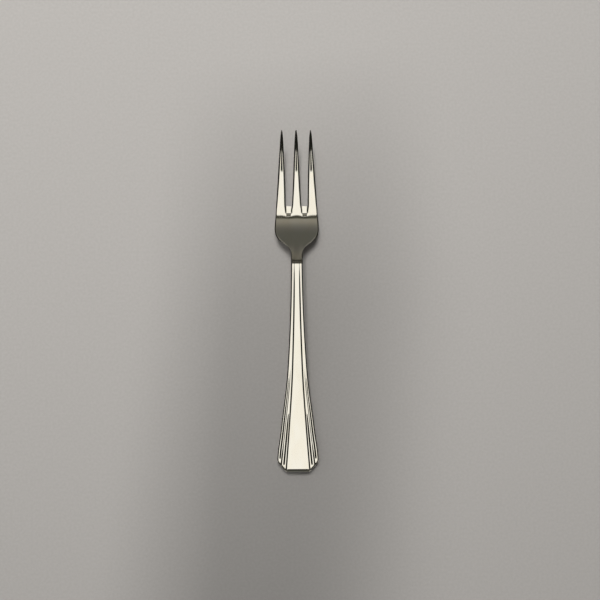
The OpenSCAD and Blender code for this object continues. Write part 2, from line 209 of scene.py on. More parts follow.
def sloped(points, first, last):
    """Knots whose inner slopes follow from their neighbours."""
    slopes = [(c[1] - a[1]) / (c[0] - a[0]) for a, c in zip(points, points[2:])]
    return [(*point, slope) for point, slope in zip(points, [first, *slopes, last])]


def handle_stations(h, first_place, first, grip, waist, mouth):
    """Widths at the four stations of the handle, each with its place."""
    return [(first_place, first), (h.grip_place, grip), (h.waist_place, waist), (h.length, mouth)]


def panel_edge(h, s):
    stations = handle_stations(
        h, 0, h.panel_end_width, h.panel_grip_width, h.panel_waist_width, h.panel_mouth_width
    )
    return curve(sloped(stations, (h.panel_grip_width - h.panel_end_width) / h.grip_place, 0), s) / 2


def band_edge(h, s):
    stations = handle_stations(
        h, 0, h.band_end_width, h.band_grip_width, h.band_waist_width, h.band_mouth_width
    )
    return curve(sloped(stations, (h.band_grip_width - h.band_end_width) / h.grip_place, 0), s) / 2


def side_edge(h, s):
    stations = handle_stations(
        h, h.corner_length, h.flare_width, h.grip_width, h.waist_width, h.mouth_width
    )
    return curve(sloped(stations, 0, 0), s) / 2


def corner_slope(h):
    return (h.flare_width - h.end_width) / 2 / h.corner_length


def corner_edge(h, s):
    return h.end_width / 2 + s * corner_slope(h)


def handle_thickness(h, s):
    return mix(h.end_thickness, h.mouth_thickness, ease(share(s, h.rest_length, h.length)))


def handle_middle(h, s):
    """Height of the surface half-way between the front and the back."""
    end = (h.rest_length, h.end_height, 0)
    crest = (h.crest_place, h.crest_height, 0)
    belly = (h.belly_place, h.belly_height, 0)
    top = curve([end, crest, belly], s)
    return top - handle_thickness(h, s) / 2


def flute(h, x, s, sides, land, fade, gone):
    """Share of a flute's depth at x. A plain land lies before it, and it fades out along the handle."""
    near, far = sides
    middle = (near + far) / 2
    depth = 1 - share(distance(x - middle), 0, far - middle)
    start = greatest(middle - h.end_width / 2, 0) / corner_slope(h) + land
    run_in = ease(share(s, start, start + h.flute_runout))
    return depth * run_in * (1 - ease(share(s, fade, gone)))


def flute_sides(h, first, last, most):
    """Both sides of a flute in the middle of a band, of which it takes a share at most."""
    room = greatest(last - first, TINY)
    middle = first + room / 2
    half = least(room * most, h.flute_width) / 2
    return middle - half, middle + half


# Columns of the front's grid from the axis out: the panel, a drop, a band with its flute, a drop, a band
# with its flute, the rolled edge and the straight side
FRONT_COLUMNS = [8, 7, 3, 12, 3, 7, 2, 10, 2, 9, 2]
FRONT_ROWS = 260
# Shares of the grid's rows up to the top of the end, over its rolled edge and over the clipped corners
END_ROWS = 0.01
ROLL_ROWS = 0.06
CORNER_ROWS = 0.16


def front_shape(h, across, along):
    """Place of a point of the front, from -1 to 1 across its grid and 0 to 1 along it, and how tarnished
    and painted with shade it is.
    """
    end_side = share(along, 0, END_ROWS)
    s = (
        h.draft * end_side
        + h.end_round * share(along, END_ROWS, ROLL_ROWS)
        + (h.corner_length - h.end_round - h.draft) * share(along, ROLL_ROWS, CORNER_ROWS)
        + (h.length - h.corner_length) * share(along, CORNER_ROWS, 1)
    )
    panel = panel_edge(h, s)
    band = band_edge(h, s)
    side = side_edge(h, s)
    limit = least(side, corner_edge(h, s)) - h.draft - h.edge_round
    panel_foot = panel + h.step_run
    band_foot = band + h.step_run
    inner = flute_sides(h, panel_foot, band, h.inner_flute_share)
    outer = flute_sides(h, band_foot, side - h.edge_round - h.flute_shoulder, h.outer_flute_share)
    lines = [panel, panel_foot, *inner, band, band_foot, *outer, limit]
    marks = np.cumsum([0, *FRONT_COLUMNS]) / sum(FRONT_COLUMNS)
    column = distance(across)
    x = column * 0
    previous = 0
    for line, first, last in zip(lines, marks, marks[1:]):
        x = x + greatest(line - previous, 0) * share(column, first, last)
        previous = line
    below_edge = share(column, marks[-2], marks[-1])
    x = least(x, limit) + h.edge_round * share(column, marks[-3], marks[-2]) + h.draft * below_edge
    first_drop = ease(share(x, panel, panel_foot))
    outer_left = 1 - ease(share(s, h.outer_fade_place, h.outer_gone_place))
    second_drop = ease(share(x, band, band_foot)) * outer_left
    flutes = flute(h, x, s, inner, h.inner_flute_land, h.inner_flute_fade, h.inner_flute_gone)
    flutes = flutes + flute(h, x, s, outer, h.outer_flute_land, h.outer_flute_fade, h.outer_flute_gone)
    panel_step = mix(h.step_height, h.mouth_step_height, ease(share(s, h.panel_fade_place, h.length)))
    band_lowered = ease(share(s, h.band_fade_place, h.band_low_place))
    band_step = mix(h.step_height, h.band_step_height, band_lowered)
    drop = panel_step * first_drop + band_step * second_drop + h.flute_depth * flutes
    corner_lean = (1 + corner_slope(h) * corner_slope(h)).joined("SQRT")
    corner_away = (corner_edge(h, s) - h.draft - x) / corner_lean
    side_rolled = share(side - h.draft - x, h.edge_round, 0)
    end_rolled = share(s - h.draft, h.end_round, 0)
    corner_rolled = share(corner_away, h.corner_round, 0)
    mouth_rolled = share(s, h.length - h.mouth_round, h.length)
    roll = h.edge_drop * side_rolled * side_rolled + h.end_drop * end_rolled * end_rolled
    roll = roll + h.corner_drop * corner_rolled * corner_rolled
    roll = roll + h.mouth_drop * mouth_rolled * mouth_rolled
    height = (handle_thickness(h, s) / 2 - drop - roll) * (1 - below_edge) * end_side
    z = handle_middle(h, s) + h.solder_film / 2 + height
    # Flutes and the slope of the panel's step are tarnished and given painted shade
    beside_panel = 2 * first_drop * (1 - first_drop)
    return x * across.joined("SIGN"), s, z, least(flutes + beside_panel, 1)


def wired(tree, kind, inputs=(), **settings):
    """A new node with its settings, and each of its inputs given a number or a link."""
    node = tree.nodes.new(kind)
    for name, value in settings.items():
        setattr(node, name, value)
    for name, value in dict(inputs).items():
        if isinstance(value, bpy.types.NodeSocket):
            tree.links.new(value, node.inputs[name])
        else:
            node.inputs[name].default_value = value
    return node


def new_material(name):
    material = bpy.data.materials.new(name)
    material.use_nodes = True
    material.node_tree.nodes.clear()
    return material


def stretched_noise(tree, scale, detail):
    """Noise whose grain has its own size along each axis."""
    place = wired(tree, "ShaderNodeTexCoord")
    mapped = wired(tree, "ShaderNodeMapping", {"Vector": place.outputs["Object"], "Scale": scale})
    return wired(
        tree, "ShaderNodeTexNoise", {"Vector": mapped.outputs["Vector"], "Scale": 1, "Detail": detail}
    ).outputs["Fac"]


def faded(tree, value, given, wanted):
    """A value brought from one range to another."""
    (low, high), (to_low, to_high) = given, wanted
    return wired(
        tree,
        "ShaderNodeMapRange",
        {"Value": value, "From Min": low, "From Max": high, "To Min": to_low, "To Max": to_high},
    ).outputs["Result"]


def blended_colour(tree, factor, first, second):
    """A colour between two, at a share of the way from the first to the second."""
    return wired(
        tree, "ShaderNodeMix", {"Factor": factor, "A": first, "B": second}, data_type="RGBA"
    ).outputs["Result"]


def product(tree, first, second):
    return wired(tree, "ShaderNodeMath", {0: first, 1: second}, operation="MULTIPLY").outputs[0]


# The dark tarnished colour is mixed in strongly enough to be painted shade in the flutes and on the steps.
# Mirror polish with hairlines from wiping, clouds of handling, and tarnished metal where no cloth reaches.
# A scale is a number of grains per metre along each axis, and a depth is in millimetres.
SILVER = (0.94, 0.92, 0.865, 1)
SILVER_WARM = (0.92, 0.885, 0.80, 1)
TARNISH_AND_SHADE = (0.30, 0.285, 0.25, 1)
CLOUD_SCALE = (160, 60, 160)
HAIRLINE_SCALE = (5200, 260, 5200)
HAIRLINE_DEPTH = 0.02
HAIRLINE_STRENGTH = 0.04
# Cloud strengths between which the tint, the tarnished and painted shade colour and the polish change, and
# what these change to
WARM_CLOUDS = (0.35, 0.7)
STAIN_AND_SHADE_CLOUDS = (0.3, 0.6)
POLISH_CLOUDS = (0.3, 0.7)
STAIN_AND_SHADE_RANGE = (0.6, 0.9)
ROUGHNESS_RANGE = (0.035, 0.075)
TARNISH_ROUGHNESS = 0.02
silver = new_material("polished_silver")
tree = silver.node_tree
clouds = stretched_noise(tree, CLOUD_SCALE, detail=3)
hairlines = stretched_noise(tree, HAIRLINE_SCALE, detail=2)
# Share of tarnished colour and painted shade on each point, as the pressed halves and the forging store it
hollow = wired(tree, "ShaderNodeAttribute", attribute_name="hollow").outputs["Fac"]
tint = blended_colour(tree, faded(tree, clouds, WARM_CLOUDS, (0, 1)), SILVER, SILVER_WARM)
stain_and_shade = product(tree, hollow, faded(tree, clouds, STAIN_AND_SHADE_CLOUDS, STAIN_AND_SHADE_RANGE))
wiped = faded(tree, clouds, POLISH_CLOUDS, ROUGHNESS_RANGE)
dulled = wired(
    tree, "ShaderNodeMath", {0: hollow, 1: TARNISH_ROUGHNESS, 2: wiped}, operation="MULTIPLY_ADD"
)
relief = wired(
    tree,
    "ShaderNodeBump",
    {"Strength": HAIRLINE_STRENGTH, "Distance": HAIRLINE_DEPTH * MM, "Height": hairlines},
)
metal = wired(
    tree,
    "ShaderNodeBsdfPrincipled",
    {
        "Base Color": blended_colour(tree, stain_and_shade, tint, TARNISH_AND_SHADE),
        "Metallic": 1,
        "Roughness": dulled.outputs[0],
        "Normal": relief.outputs["Normal"],
    },
)
wired(tree, "ShaderNodeOutputMaterial", {"Surface": metal.outputs["BSDF"]})


def pressed_half(name, shape, columns, rows):
    """A half of the handle: a grid that a shape's rule bends, with a wall of even thickness."""
    tree = bpy.data.node_groups.new(name, "GeometryNodeTree")
    tree.interface.new_socket(name="Half", in_out="OUTPUT", socket_type="NodeSocketGeometry")
    entries = {
        key: tree.interface.new_socket(
            name=key.replace("_", " ").capitalize(), in_out="INPUT", socket_type="NodeSocketFloat"
        )
        for key in vars(handle)
    }
    finish = tree.interface.new_socket(name="Finish", in_out="INPUT", socket_type="NodeSocketMaterial")
    given = wired(tree, "NodeGroupInput").outputs
    sizes = SimpleNamespace(**{key: Reckoned(tree, given[entry.name]) for key, entry in entries.items()})
    # The grid lies about its own middle, 2 wide and 1 long
    grid = wired(
        tree,
        "GeometryNodeMeshGrid",
        {"Size X": 2, "Size Y": 1, "Vertices X": columns, "Vertices Y": rows},
    )
    place = wired(tree, "GeometryNodeInputPosition")
    parts = wired(tree, "ShaderNodeSeparateXYZ", {"Vector": place.outputs["Position"]}).outputs
    x, s, z, tarnish_and_shade_share = shape(sizes, Reckoned(tree, parts["X"]), Reckoned(tree, parts["Y"]) + 0.5)
    # Each point keeps its share of tarnished colour and painted shade for the silver
    marked = wired(
        tree,
        "GeometryNodeStoreNamedAttribute",
        {"Geometry": grid.outputs["Mesh"], "Name": "hollow", "Value": tarnish_and_shade_share.socket},
    )
    point = wired(
        tree,
        "ShaderNodeCombineXYZ",
        {"X": (x * MM).socket, "Y": ((s - fork_length / 2) * MM).socket, "Z": (z * MM).socket},
    )
    bent = wired(
        tree,
        "GeometryNodeSetPosition",
        {"Geometry": marked.outputs["Geometry"], "Position": point.outputs["Vector"]},
    )
    welded = wired(
        tree,
        "GeometryNodeMergeByDistance",
        {"Geometry": bent.outputs["Geometry"], "Distance": PRESSING_WELD * MM},
    )
    smooth = wired(tree, "GeometryNodeSetShadeSmooth", {"Geometry": welded.outputs["Geometry"]})
    real = wired(tree, "GeometryNodeRealizeInstances", {"Geometry": smooth.outputs["Geometry"]})
    plated = wired(
        tree,
        "GeometryNodeSetMaterial",
        {"Geometry": real.outputs["Geometry"], "Material": given[finish.name]},
    )
    wired(tree, "NodeGroupOutput", {"Half": plated.outputs["Geometry"]})

    piece = bpy.data.objects.new(name, bpy.data.meshes.new(name))
    bpy.context.scene.collection.objects.link(piece)
    pressing = piece.modifiers.new("Pressing", "NODES")
    pressing.node_group = tree
    for key, entry in entries.items():
        pressing[entry.identifier] = float(getattr(handle, key))
    pressing[finish.identifier] = silver
    wall = piece.modifiers.new("Wall", "SOLIDIFY")
    wall.thickness = WALL * MM
    wall.offset = -1
    shaped = piece.evaluated_get(bpy.context.evaluated_depsgraph_get())
    piece.data = bpy.data.meshes.new_from_object(shaped)
    piece.modifiers.clear()
    piece.data.set_sharp_from_angle(angle=PRESSING_CREASE)
    return piece


handle_front = pressed_half("handle_front_half", front_shape, 2 * sum(FRONT_COLUMNS) + 1, FRONT_ROWS)
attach(handle_front, "root")
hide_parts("handle_front")


# Handle back
# The back half is pressed from the same sheet and left plain. Its edges are well rounded for the hand,
# and its lowest stretch is polished flat, which is where the fork rests.
BACK_ROWS = 240
# Columns of the back's grid from the axis out: the flat and the rounded edge
BACK_COLUMNS = [14, 16]


def back_shape(h, across, along):
    """Place of a point of the back, which is neither tarnished nor painted with shade, with the same
    shares as on the front.
    """
    end_turn = QUARTER_TURN * share(along, 0, ROLL_ROWS)
    s = (
        h.back_round * (1 - end_turn.joined("COSINE"))
        + (h.corner_length - h.back_round) * share(along, ROLL_ROWS, CORNER_ROWS)
        + (h.length - h.corner_length) * share(along, CORNER_ROWS, 1)
    )
    flat = least(side_edge(h, s), corner_edge(h, s)) - h.back_round
    column = distance(across)
    mark = BACK_COLUMNS[0] / sum(BACK_COLUMNS)
    turn = QUARTER_TURN * share(column, mark, 1)
    x = (flat * share(column, 0, mark) + h.back_round * turn.joined("SINE")) * across.joined("SIGN")
    height = handle_thickness(h, s) / 2 * turn.joined("COSINE") * end_turn.joined("SINE")
    z = greatest(handle_middle(h, s) - h.solder_film / 2 - height, 0)
    return x * -1, s, z, column * 0


handle_back = pressed_half("handle_back_half", back_shape, 2 * sum(BACK_COLUMNS) + 1, BACK_ROWS)
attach(handle_back, "root")
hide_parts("handle_back")


# Cement core
# The hollow between the two halves is filled with a cement that sets hard round the tang. It is poured
# before the head goes in, and the halves hide it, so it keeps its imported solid, with a grain and pores.
CEMENT_PALE = (0.40, 0.35, 0.29, 1)
CEMENT_DARK = (0.22, 0.19, 0.155, 1)
GRAIN_SCALE = (900, 900, 900)
GRAIN_COLOURS = (0.35, 0.65)
GRAIN_POLISH = (0.3, 0.7)
CEMENT_ROUGHNESS = (0.82, 0.95)
PORE_SCALE = (2600, 2600, 2600)
PORE_DEPTH = 0.1
PORE_STRENGTH = 0.4
cement = new_material("core_cement")
tree = cement.node_tree
grain = stretched_noise(tree, GRAIN_SCALE, detail=5)
pores = stretched_noise(tree, PORE_SCALE, detail=1)
cement_share = faded(tree, grain, GRAIN_COLOURS, (0, 1))
relief = wired(
    tree,
    "ShaderNodeBump",
    {"Strength": PORE_STRENGTH, "Distance": PORE_DEPTH * MM, "Height": pores},
)
surface = wired(
    tree,
    "ShaderNodeBsdfPrincipled",
    {
        "Base Color": blended_colour(tree, cement_share, CEMENT_DARK, CEMENT_PALE),
        "Roughness": faded(tree, grain, GRAIN_POLISH, CEMENT_ROUGHNESS),
        "Normal": relief.outputs["Normal"],
    },
)
wired(tree, "ShaderNodeOutputMaterial", {"Surface": surface.outputs["BSDF"]})
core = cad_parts["handle_filler"]
core.material_slots[0].material = cement


# Fork head
# One forging carries the tang, the neck, the bowl and the three tines, whose slots are cut and then filed
# to a ramp at each root. The tang is cemented into the handle, and the neck is soldered to its mouth.
head_low, head_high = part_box("fork_head")
# Sizes in millimetres, apart from angles, slopes, shares and the power that squares a slot's root
head = SimpleNamespace(
    tang_length=48,
    tang_width=2.8,
    tang_tip_width=2,
    tang_thickness=1.4,
    tang_tip_thickness=1,
    neck_length=3.5,
    neck_width=5.9,
    hollow_length=6.5,
    turn_width=14.8,
    turn_angle=math.radians(54),
    round_length=8.3,
    bowl_width=(head_high.x - head_low.x) / MM,
    bowl_length=11.1,
    blend_length=9,
    step_fade_length=12,
    joint_stain=0.85,
    joint_stain_length=11,
    neck_edge_round=0.3,
    neck_flat_share=0.04,
    tine_middle_length=13.8,
    point_length=10.7,
    centre_root_width=5.4,
    centre_middle_width=3.95,
    centre_point_width=2.4,
    centre_tip_width=0.5,
    side_root_width=5.4,
    side_middle_width=4.25,
    side_point_width=2.4,
    side_tip_width=0.45,
    tip_taper=0.4,
    most_edge_share=0.9,
    side_root_middle=8.8,
    side_tip_middle=7.7,
    fillet=0.38,
    fillet_length=4,
    root_edge_growth=0.4,
    slot_round=1.85,
    slot_square=26,
    slot_back_round=0.8,
    ramp_length=3.1,
    slot_ease_length=4,
    rollover_length=1.7,
    rollover_drop=0.2,
    wave_rise=0.055,
    wave_width=4.2,
    wave_start=5.4,
    wave_end=1.2,
    bowl_thickness=2.2,
    tip_thickness=0.9,
    crown=0.2,
    side_flat=0.5,
    dish=0.35,
    tip_height=(head_high.z - head_low.z) / MM,
    tip_rise=math.tan(math.radians(29)),
)
# Gap in millimetres under which the forging's points are welded, and angle past which an edge is sharp
FORGING_WELD = 0.001
FORGING_CREASE = math.radians(35)
mouth_place = handle.length + handle.solder_film
neck_place = handle.length + head.neck_length
turn_place = neck_place + head.hollow_length
bowl_place = turn_place + head.round_length
slot_place = bowl_place + head.bowl_length
slot_back_place = slot_place + head.ramp_length
middle_place = slot_place + head.tine_middle_length
point_place = fork_length - head.point_length


def tine_half_width(s, root, middle, point, tip):
    """Half of a tine's width at a place, from its widths at four stations."""
    stations = [(slot_place, root), (middle_place, middle), (point_place, point), (fork_length, tip)]
    knots = sloped(stations, (middle - root) / head.tine_middle_length, -head.tip_taper)
    return curve(knots, s) / 2


def fillet(s):
    """How much a tine grows towards a slot near the slot's root."""
    return head.fillet * (1 - share(s, slot_place, slot_place + head.fillet_length)) ** 2


def centre_half_width(s):
    plain = tine_half_width(
        s, head.centre_root_width, head.centre_middle_width, head.centre_point_width, head.centre_tip_width
    )
    return plain + fillet(s)


def side_half_width(s):
    plain = tine_half_width(
        s, head.side_root_width, head.side_middle_width, head.side_point_width, head.side_tip_width
    )
    return plain + fillet(s) / 2


def side_middle(s):
    plain = mix(head.side_root_middle, head.side_tip_middle, share(s, slot_place, fork_length))
    return plain - fillet(s) / 2


def head_edge(s):
    """Outline of the neck, the shoulders and the bowl, which goes on along the side tines."""
    tine_edge = side_middle(s) + side_half_width(s)
    bowl_edge = curve(
        [
            (handle.length, handle.mouth_width / 2, 0),
            (neck_place, head.neck_width / 2, 0),
            (turn_place, head.turn_width / 2, math.tan(head.turn_angle)),
            (bowl_place, head.bowl_width / 2, 0),
            (
                slot_place,
                head.side_root_middle + head.side_root_width / 2,
                (head.side_middle_width - head.side_root_width) / 2 / head.tine_middle_length,
            ),
        ],
        s,
    )
    return np.where(s < slot_place, bowl_edge, tine_edge)


def head_thickness(s):
    return curve(
        [
            (handle.length, handle.mouth_thickness, 0),
            (bowl_place, head.bowl_thickness, 0),
            (handle.belly_place, head.bowl_thickness, 0),
            (fork_length, head.tip_thickness, 0),
        ],
        s,
    )


def head_middle(s):
    """Height of the surface half-way between the head's front and back."""
    top = curve(
        [
            (handle.crest_place, handle.crest_height, 0),
            (handle.belly_place, handle.belly_height, 0),
            (fork_length, head.tip_height, head.tip_rise),
        ],
        s,
    )
    return top - head_thickness(s) / 2


def blended(s):
    """How far the neck's rounded section has become the bowl's flat one."""
    return ease(share(s, handle.length, neck_place + head.blend_length))


# Lines along half of the head, from the axis out: the centre tine, a slot and a side tine.
# A tine's part runs from 0 at its middle to 1 where its edge starts to round, and to 2 at the edge.
EDGE_PARTS = [1.2, 1.4, 1.6, 1.8, 1.93, 2]
CENTRE_PARTS = np.array([0, 0.35, 0.7, 1, *EDGE_PARTS])
CORNER_PARTS = np.array([0.012, 0.03, 0.05, 0.075])
SLOT_PARTS = np.concatenate([CORNER_PARTS, np.linspace(0.12, 0.88, 7), 1 - CORNER_PARTS[::-1]])
SIDE_PARTS = np.concatenate([-CENTRE_PARTS[:0:-1], CENTRE_PARTS])
FIRST_SLOT = len(CENTRE_PARTS)
FIRST_SIDE = FIRST_SLOT + len(SLOT_PARTS)
LAST_LINE = FIRST_SIDE + len(SIDE_PARTS) - 1


def tine_part_offset(parts, half_width):
    """Distance of a tine's lines from its middle."""
    rounding = np.minimum(handle.edge_round, head.most_edge_share * half_width)
    flat = (half_width - rounding) * np.minimum(np.abs(parts), 1)
    return np.sign(parts) * (flat + rounding * share(np.abs(parts), 1, 2))


def tine_lines(s):
    """Lines across half of the head at each place, as if the slots ran all the way down."""
    centre_s, slot_s, side_s = np.split(s, [FIRST_SLOT, FIRST_SIDE], axis=1)
    centre = tine_part_offset(CENTRE_PARTS, centre_half_width(centre_s))
    slot = mix(centre_half_width(slot_s), side_middle(slot_s) - side_half_width(slot_s), SLOT_PARTS)
    side = side_middle(side_s) + tine_part_offset(SIDE_PARTS, side_half_width(side_s))
    return np.concatenate([centre, slot, side], axis=1)


# At the mouth the same lines follow the end of the handle: its panel, drop, band and rolled edge
PANEL_LINES = 9
DROP_LINES = 9
ROLL_LINES = 10
BAND_LINES = LAST_LINE + 1 - PANEL_LINES - DROP_LINES - ROLL_LINES
panel_half = handle.panel_mouth_width / 2
drop_foot = panel_half + handle.step_run
mouth_half = handle.mouth_width / 2
roll_start = mouth_half - handle.edge_round
NECK_LINES = np.concatenate([
    np.linspace(0, panel_half - TINY, PANEL_LINES),
    np.linspace(panel_half, drop_foot, DROP_LINES),
    np.linspace(drop_foot, roll_start, BAND_LINES + 1)[1:],
    np.linspace(roll_start, mouth_half, ROLL_LINES + 1)[1:],
])


def head_lines(s):
    """Lines across half of the head at each place, from the mouth to the tips."""
    tines = tine_lines(s) * head_edge(s) / (side_middle(s) + side_half_width(s))
    return mix(NECK_LINES, tines, blended(s))


def from_polyline(x, s, line):
    """Least distance from points to a line of points."""
    first = line[:-1]
    run = line[1:] - first
    away = np.full(x.shape, np.inf)
    for (ax, ay), (rx, ry) in zip(first, run):
        t = np.clip(((x - ax) * rx + (s - ay) * ry) / (rx * rx + ry * ry), 0, 1)
        away = np.minimum(away, np.hypot(x - ax - t * rx, s - ay - t * ry))
    return away


# Points of the outlines that edges are measured from
OUTER_POINTS = 200
SLOT_SIDE_POINTS = 120
SLOT_ROOT_POINTS = 31


def outer_line():
    """Outline of half of the head, from below the mouth to the tip of the side tine."""
    s = np.linspace(handle.length, fork_length, OUTER_POINTS)
    start = [(mouth_half, handle.length - head.bowl_width)]
    return np.concatenate([start, np.column_stack([head_edge(s), s])])


def slot_bulge(across):
    """How far the root of a slot goes down at a share of its width."""
    return 1 - np.abs(2 * across - 1) ** head.slot_square


def slot_line(place, depth):
    """Outline of a slot: down the centre tine, round the root and up the side tine."""
    s = np.linspace(place, fork_length, SLOT_SIDE_POINTS)
    across = np.linspace(0, 1, SLOT_ROOT_POINTS)
    root_x = mix(centre_half_width(place), side_middle(place) - side_half_width(place), across)
    root = np.column_stack([root_x, place - depth * slot_bulge(across)])
    down = np.column_stack([centre_half_width(s), s])[:0:-1]
    up = np.column_stack([side_middle(s) - side_half_width(s), s])[1:]
    return np.concatenate([down, root, up])


def rolled(away, run):
    """Drop at a distance inside a rolled edge, which keeps its slope whatever its width."""
    return handle.edge_drop * run / handle.edge_round * (1 - share(away, 0, run)) ** 2


def head_height(x, s, is_front):
    """Height of the head's front or back over its middle surface."""
    place, depth = (slot_place, head.slot_round) if is_front else (slot_back_place, head.slot_back_round)
    blend = blended(s)
    is_side = x > (centre_half_width(s) + side_middle(s) - side_half_width(s)) / 2
    half_width = np.where(is_side, side_half_width(s), centre_half_width(s))
    off = np.where(is_side, x - side_middle(s), x) / half_width
    formed = ease(share(s, place, place + head.slot_ease_length))
    edge_round = mix(head.neck_edge_round, handle.edge_round, ease(share(s, neck_place, turn_place)))
    run = np.minimum(edge_round, np.where(s > place, half_width, np.inf))
    outer_away = from_polyline(x, s, outer_line())
    slot_away = from_polyline(x, s, slot_line(place, depth))
    edged = ease(share(s, place - depth, place - depth + handle.edge_round))
    root_left = 1 - ease(share(s, place, place + head.fillet_length))
    slot_run = run * (1 + head.root_edge_growth * root_left)
    edges = rolled(outer_away, run) + edged * rolled(slot_away, slot_run)
    lowest = head.side_flat / 2 * np.maximum(blend, head.neck_flat_share)
    height = np.maximum(head_thickness(s) / 2 - head.crown * formed * off ** 2 - edges, lowest)
    if not is_front:
        neck_rim = np.sqrt(1 - (1 - share(outer_away, 0, handle.back_round)) ** 2)
        return mix(head_thickness(s) / 2 * neck_rim, height, blend)
    step_left = 1 - ease(share(s, handle.length, handle.length + head.step_fade_length))
    step = handle.mouth_step_height * ease(share(x, panel_half, drop_foot)) * step_left
    slot_middle = (centre_half_width(place) + side_middle(place) - side_half_width(place)) / 2
    near_slot = 1 - ease(share(np.abs(x - slot_middle), 0, head.wave_width))
    risen = ease(share(s, place - head.wave_start, place - head.wave_end))
    wave = head.wave_rise * near_slot * risen * (1 - ease(share(s, place, middle_place)))
    return np.maximum(height - step, lowest) + wave


def head_points(x, s, is_front):
    """Points of half of the head's front or back, in rows from the axis out."""
    way = 1 if is_front else -1
    dish = head.dish * (x / head_edge(s)) ** 2 * ease(share(s, neck_place, bowl_place))
    dish = dish * (1 - ease(share(s, slot_place, middle_place)))
    z = head_middle(s) + way * head_height(x, s, is_front) + dish
    return np.stack([x, s, z], axis=-1)


def whole_rows(half):
    """Rows over both sides of the axis, from left to right."""
    left = half[:, :0:-1] * [-1, 1, 1]
    return np.concatenate([left, half], axis=1)


# Rows of points along the tang, from the mouth to the slots, and along the tines
TANG_ROWS = 12
BOWL_ROWS = 80
TINE_ROWS = 90


def bowl_rows(is_front):
    bulge = np.zeros(LAST_LINE + 1)
    bulge[FIRST_SLOT:FIRST_SIDE] = slot_bulge(SLOT_PARTS)
    place, depth = (slot_place, head.slot_round) if is_front else (slot_back_place, head.slot_back_round)
    root = place - depth * bulge
    s = mix(mouth_place, root, np.linspace(0, 1, BOWL_ROWS)[:, None])
    points = head_points(head_lines(s), s, is_front)
    if is_front:
        points[..., 2] -= head.rollover_drop * bulge * share(s, root - head.rollover_length, root) ** 2
    return whole_rows(points)


def tine_rows(is_front):
    place = slot_place if is_front else slot_back_place
    s = np.linspace(place, fork_length, TINE_ROWS)[1:, None] + np.zeros(LAST_LINE + 1)
    return whole_rows(head_points(head_lines(s), s, is_front))


def tang_middle(s):
    """Middle surface of the handle, which the tang follows up to the mouth."""
    return np.where(s > handle.length, head_middle(s), handle_middle(handle, s))


def tang_rows(way):
    tip_place = handle.length - head.tang_length
    s = np.linspace(tip_place, mouth_place, TANG_ROWS)[:, None] + np.zeros(LAST_LINE + 1)
    along = share(s, tip_place, handle.length)
    x = mix(head.tang_tip_width, head.tang_width, along) / 2 * np.linspace(0, 1, LAST_LINE + 1)
    z = tang_middle(s) + way * mix(head.tang_tip_thickness, head.tang_thickness, along) / 2
    return whole_rows(np.stack([x, s, z], axis=-1))


mesh_maker = bmesh.new()


def placed_rows(rows):
    """Points of the mesh for rows of points in millimetres from the handle's end."""
    origin = np.array([0, fork_length / 2, 0])
    return [[mesh_maker.verts.new((point - origin) * MM) for point in row] for row in rows]


def faced(first, second):
    """Faces between two lines of points."""
    for a, b, c, d in zip(first, first[1:], second[1:], second):
        mesh_maker.faces.new((a, b, c, d))


body = [placed_rows(np.concatenate([tang_rows(way), bowl_rows(way > 0)])) for way in (1, -1)]
tines = [placed_rows(tine_rows(is_front)) for is_front in (True, False)]
for sheet in body:
    for first, second in zip(sheet, sheet[1:]):
        faced(first, second)
for side in (0, -1):
    faced([row[side] for row in body[0]], [row[side] for row in body[1]])
faced(body[0][0], body[1][0])
line_count = 2 * LAST_LINE + 1
tine_spans = [
    (0, len(SIDE_PARTS)),
    (LAST_LINE - FIRST_SLOT + 1, LAST_LINE + FIRST_SLOT),
    (line_count - len(SIDE_PARTS), line_count),
]
for first, last in tine_spans:
    sheets = [[row[first:last] for row in (root[-1], *rows)] for root, rows in zip(body, tines)]
    for sheet in sheets:
        for near, far in zip(sheet, sheet[1:]):
            faced(near, far)
    for side in (0, -1):
        faced([row[side] for row in sheets[0]], [row[side] for row in sheets[1]])
    faced(sheets[0][-1], sheets[1][-1])
for before, after in zip(tine_spans, tine_spans[1:]):
    faced(*[sheet[-1][before[1] - 1:after[0] + 1] for sheet in body])
loose = [vert for vert in mesh_maker.verts if not vert.link_faces]
bmesh.ops.delete(mesh_maker, geom=loose, context="VERTS")
bmesh.ops.remove_doubles(mesh_maker, verts=mesh_maker.verts, dist=FORGING_WELD * MM)
bmesh.ops.recalc_face_normals(mesh_maker, faces=mesh_maker.faces)
for face in mesh_maker.faces:
    face.smooth = True
forging = bpy.data.meshes.new("fork_head_forging")
mesh_maker.to_mesh(forging)
mesh_maker.free()
forging.set_sharp_from_angle(angle=FORGING_CREASE)
forging.materials.append(silver)
joint_tarnish = forging.attributes.new("hollow", "FLOAT", "POINT")
point_places = np.array([vert.co.y for vert in forging.vertices]) / MM + fork_length / 2
near_joint = 1 - ease(share(point_places, mouth_place, mouth_place + head.joint_stain_length))
joint_tarnish.data.foreach_set("value", head.joint_stain * near_joint)
fork_head = bpy.data.objects.new("fork_head_forging", forging)
bpy.context.scene.collection.objects.link(fork_head)
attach(fork_head, "root")
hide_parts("fork_head")


